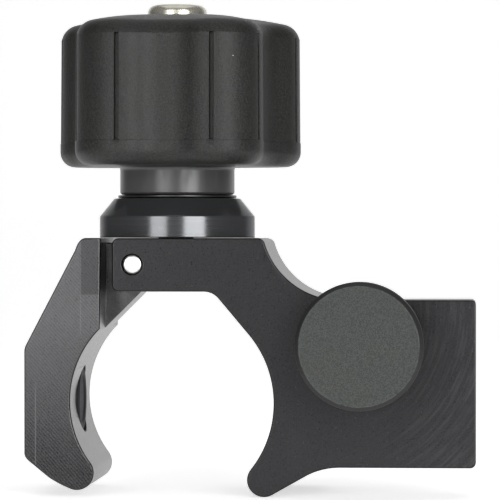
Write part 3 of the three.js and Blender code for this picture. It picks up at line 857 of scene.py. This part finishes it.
def make_knob(material):
    ring = lobed_ring()
    steps = len(ring)
    crown, head_r = 61.4, 5.0
    neck_r, neck_low = 9.18, knob_low.z
    insert_r, insert_top = 4.2, neck_low + 12
    bore_r, seat = 3.4, crown - 4.5
    bm = bmesh.new()

    def level(height, inset, groove):
        verts = []
        for x, y, nx, ny, floor in ring:
            d = inset + GROOVE["depth"] * groove * floor
            verts.append(bm.verts.new(((x - nx * d) * MM, (y - ny * d) * MM, height * MM)))
        return verts

    def toward(edge_inset, r, share, height):
        """A ring part of the way from an inset of the outline to a circle."""
        verts = []
        for x, y, nx, ny, _ in ring:
            px, py = x - nx * edge_inset, y - ny * edge_inset
            length = math.hypot(px, py)
            reach = length + (r - length) * share
            verts.append(bm.verts.new((px / length * reach * MM, py / length * reach * MM, height * MM)))
        return verts

    side = knob_levels()
    top_height, top_inset, _ = side[-1]
    rings = []
    neck = [(insert_r, neck_low), (neck_r - 0.3, neck_low), (neck_r, neck_low + 0.3), (neck_r, 36.5)]
    rings += [toward(0, r, 1.0, height) for r, height in neck]
    for k in range(1, 6):
        a = k / 5 * 90 * DEG
        height = LOBES_LOW - 0.5 * (1 - math.sin(a))
        rings.append(toward(0, neck_r + 0.5 * (1 - math.cos(a)), 1.0, height))
    rings.append(toward(side[0][1], neck_r + 0.5, 0.4, LOBES_LOW))
    rings += [level(*values) for values in side]
    for k in range(1, 8):
        share = k / 8
        height = top_height + (crown - top_height) * (1 - (1 - share) ** 2)
        rings.append(toward(top_inset, head_r + 0.35, share, height))
    inside = [(head_r + 0.35, crown), (head_r, crown - 0.25), (head_r, seat), (bore_r, seat)]
    inside += [(bore_r, insert_top), (insert_r, insert_top)]
    rings += [toward(0, r, 1.0, height) for r, height in inside]
    bridge_rings(bm, list(zip(rings, rings[1:])) + [(rings[-1], rings[0])], steps)
    knob = place(mesh_object("knob_lobed", bm), KNOB_X)
    shade(knob, 40)
    return finish_piece(knob, "knob", "moulded_black", material, "lobed_knob")


def threaded(name, r, low, high):
    """A rod with a helical thread: a closed grid whose radius follows a blunt V along the pitch."""
    chamfer, steps, slices = 0.7, 40, 10
    depth = 0.61 * THREAD_PITCH
    flat = 0.12  # share of the half pitch that is flat at crest and at root
    count = math.ceil((high - low) / THREAD_PITCH * slices)
    bm = bmesh.new()
    rings = [[bm.verts.new((0, 0, low * MM))]]
    for k in range(count + 1):
        h = low + (high - low) * k / count
        edge = min(h - low, high - h)
        limit = r - max(0.0, chamfer - edge)
        verts = []
        for i in range(steps):
            phase = (h / THREAD_PITCH - i / steps) % 1.0
            v = abs(phase * 2 - 1)
            crest = min(1.0, max(0.0, (v - flat) / (1 - 2 * flat)))
            radius = min(limit, r - depth * (1 - crest))
            a = 2 * math.pi * i / steps
            verts.append(bm.verts.new((radius * MM * math.cos(a), radius * MM * math.sin(a), h * MM)))
        rings.append(verts)
    rings.append([bm.verts.new((0, 0, high * MM))])
    bridge_rings(bm, list(zip(rings, rings[1:])), steps)
    return mesh_object(name, bm)


def join(obj, *others):
    """Joins separate solids that belong to one piece into one object."""
    bm = bmesh.new()
    for part in (obj, *others):
        bm.from_mesh(part.data)
    old = [part.data for part in others]
    bm.to_mesh(obj.data)
    bm.free()
    for mesh in old:
        bpy.data.meshes.remove(mesh)
    return obj


def make_clamp_screw(material):
    top = screw_high.z
    head_r, head_low, crown_r = 4.75, top - 6.35, 1.25
    shank_low = head_low - 20
    profile = [(0, shank_low), (SCREW_R, shank_low), (SCREW_R, head_low), (head_r, head_low)]
    profile += arc(head_r - crown_r, top - crown_r, crown_r, 0, 75, 15)
    head = lathe("screw_clamp", profile + [(head_r - 1.3, top), (0, top)], 96)
    combine(head, hex_prism("socket", 4.76, top - 3.2, top + 1))
    soften(head, 0.1)
    thread = threaded("thread", SCREW_R, screw_low.z, shank_low - 0.05)
    join(head, thread)
    place(head, KNOB_X)
    shade(head, 45)
    return finish_piece(head, "knob", "steel", material, "clamp_screw")


def make_thumb_knob(material):
    face, back = -thumb_low.y, 18.2
    start = -thumb_high.y
    rim_r, face_r, hub_r, bore_r = 9.85, THUMB_FACE_R, 6.4, 3.4
    profile = [(0, start + 3), (bore_r, start + 3), (bore_r, start), (hub_r, start)]
    profile += [(hub_r, back - 0.9), (rim_r - 1.0, back), (rim_r - 0.25, back + 0.7)]
    profile += [(rim_r - 0.1, back + 3.2), (rim_r - 0.02, back + 3.3), (rim_r, face - 0.8)]
    profile += [(face_r + 0.1, face - 0.08), (face_r - 0.1, face)]
    profile += [(face_r - 0.35, face - 0.04), (0, face - 0.04)]
    knob = lathe("thumb_knob", tidy(rounded(profile, 0.15)), 160)
    place(knob, THUMB_X, 0, THUMB_Z, True)
    shade(knob, 30)
    return finish_piece(knob, "thumb_screw", "moulded_grey", material, "accessory_knob")


def make_thumb_stud(material):
    thread_end, shank_end, shank_r, neck_r = 3.0, 17.5, SCREW_R - 0.05, 2.5
    stud = threaded("thumb_stud", SCREW_R, -stud_high.y, thread_end)
    neck_low = thread_end - 0.05
    shank = [(0, neck_low), (neck_r, neck_low), (neck_r, thread_end + 0.3), (shank_r, thread_end + 0.6)]
    join(stud, lathe("shank", shank + [(shank_r, shank_end), (0, shank_end)], 48))
    place(stud, THUMB_X, 0, THUMB_Z, True)
    shade(stud, 40)
    return finish_piece(stud, "thumb_screw", "steel", material, "accessory_screw")


def make_pin(material):
    half = pin_high.y
    crown = 0.22
    profile = rounded([(0, -half), (0.8, -half + 0.04), (PIN_R, -half + crown), (PIN_R, half - crown),
                       (0.8, half - 0.04), (0, half)], 0.5)
    pin = place(lathe("pin_polished", profile, 64), PIN_X, 0, PIN_Z, True)
    shade(pin)
    return finish_piece(pin, "clamp", "steel", material, "pivot_pin")


def make_plug(material):
    low, high = mm_box("jaw_grip_plug")
    r = (high.z - low.z) / 2
    face = high.x - 0.3
    profile = [(0, low.x), (r, low.x), (r, high.x), (r - 1.2, high.x), (r - 1.5, face), (0, face)]
    profile = rounded(profile, 0.25)
    plug = lathe("plug_rubber", profile, 72)
    plug.data.transform(Matrix.Rotation(math.pi / 2, 4, "Y"))
    shade(plug)
    return finish_piece(plug, "jaw", "grip_rubber", material, "jaw_grip_plug")


def paint_nodes(materials):
    """Gives the small inner CAD nodes that stay their own materials."""
    for name, material in materials.items():
        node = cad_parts[name]
        node.data.materials.clear()
        node.data.materials.append(material)


# ---- studio -------------------------------------------------------------------------------------


def make_floor():
    """A pale floor that curves up into a backdrop well behind the clamp."""
    low = cad_box[0][2] - 0.05 * MM
    wide, near, far, bend, high = 0.42, -1.6, 1.4, 0.6, 2.2
    profile = [(near, low)] + arc(far - bend, low + bend, bend, -90, 0, 10)
    profile.append((far, high))
    bm = bmesh.new()
    rows = [[bm.verts.new((x, y, z)) for x in (-wide, wide)] for y, z in profile]
    for a, b in zip(rows, rows[1:]):
        bm.faces.new((a[0], a[1], b[1], b[0]))
    floor = mesh_object("floor", bm)
    floor.data.polygons.foreach_set("use_smooth", [True] * len(floor.data.polygons))
    floor.data.materials.append(pale_floor())


LIGHT_AIM = (0.005, 0, 0.03)


def softbox(name, azimuth, distance, height, size, watts):
    """An upright area light at an azimuth from -Y towards +X, aimed at the clamp."""
    data = bpy.data.lights.new(name, "AREA")
    data.shape = "RECTANGLE"
    data.size, data.size_y = size
    data.energy = watts
    light = bpy.data.objects.new(name, data)
    a = azimuth * DEG
    light.location = (distance * math.sin(a), -distance * math.cos(a), height)
    aim = Vector(LIGHT_AIM) - light.location
    light.rotation_euler = aim.to_track_quat("-Z", "Y").to_euler()
    light.visible_camera = False
    bpy.context.scene.collection.objects.link(light)
    return light


# The world's brightness from the viewer's side and from behind, and where one turns into the other.
DARK_SIDE = 0.13
WHITE_SIDE = 1.0
TURN = (0.5, 0.95)


def white_tent(world):
    """Bright behind the clamp and dim about the viewer's side; plain white as a backdrop."""
    tree = world.node_tree
    background = tree.nodes["Background"]
    background.inputs["Strength"].default_value = 1.0
    direction = tree.nodes.new("ShaderNodeTexCoord").outputs["Generated"]
    split = tree.nodes.new("ShaderNodeSeparateXYZ")
    tree.links.new(direction, split.inputs["Vector"])
    cone = tree.nodes.new("ShaderNodeMapRange")
    cone.interpolation_type = "SMOOTHSTEP"
    for name, value in zip(("From Min", "From Max", "To Min", "To Max"), (*TURN, DARK_SIDE, WHITE_SIDE)):
        cone.inputs[name].default_value = value
    tree.links.new(split.outputs["Y"], cone.inputs["Value"])
    seen = tree.nodes.new("ShaderNodeLightPath").outputs["Is Camera Ray"]
    pick = tree.nodes.new("ShaderNodeMath")
    pick.operation = "MAXIMUM"
    tree.links.new(cone.outputs["Result"], pick.inputs[0])
    tree.links.new(seen, pick.inputs[1])
    tree.links.new(pick.outputs["Value"], background.inputs["Color"])


def make_light():
    scene = bpy.context.scene
    world = bpy.data.worlds.new("white_tent")
    scene.world = world
    world.use_nodes = True
    white_tent(world)
    softbox("softbox_left", -23, 0.9, 0.05, (0.38, 0.8), 4.4)
    softbox("softbox_right", 30, 0.9, 0.05, (0.5, 0.8), 8.0)
    overhead = softbox("softbox_overhead", 0, 0.05, 1.0, (1.2, 1.2), 2.8)
    overhead.rotation_euler = (0, 0, 0)
    scene.view_settings.view_transform = "Standard"


# ---- build --------------------------------------------------------------------------------------

make_camera()
polished = steel("polished_steel", (0.78, 0.78, 0.76), 0.08, 0.22)
zinc = steel("zinc_steel", (0.5, 0.5, 0.49), 0.28, 0.42)
dark_zinc = steel("black_zinc", (0.06, 0.06, 0.062), 0.3, 0.45)
brass = steel("brass_insert", (0.62, 0.46, 0.2), 0.2, 0.35)

make_body(anodised_body())
make_jaw(milled_jaw())
make_collar(gloss_black())
make_washer("washer_thrust", "thrust_washer", "collar", dark_zinc)
make_washer("washer_thumb", "accessory_washer", "thumb_slide", zinc, True)
make_knob(moulded_black())
make_clamp_screw(steel("screw_steel", (0.72, 0.7, 0.6), 0.2, 0.34, 0.82))
make_thumb_knob(moulded_grey())
make_thumb_stud(polished)
make_pin(steel("ground_steel", (0.95, 0.95, 0.94), 0.3, 0.45))
make_plug(grip_rubber())
paint_nodes({
    "body_thread_insert": polished,
    "pin_set_screw": zinc,
    "screw_retaining_ring": zinc,
    "knob_insert": brass,
    "head_washer": zinc,
    "accessory_retaining_ring": zinc,
})
make_floor()
make_light()
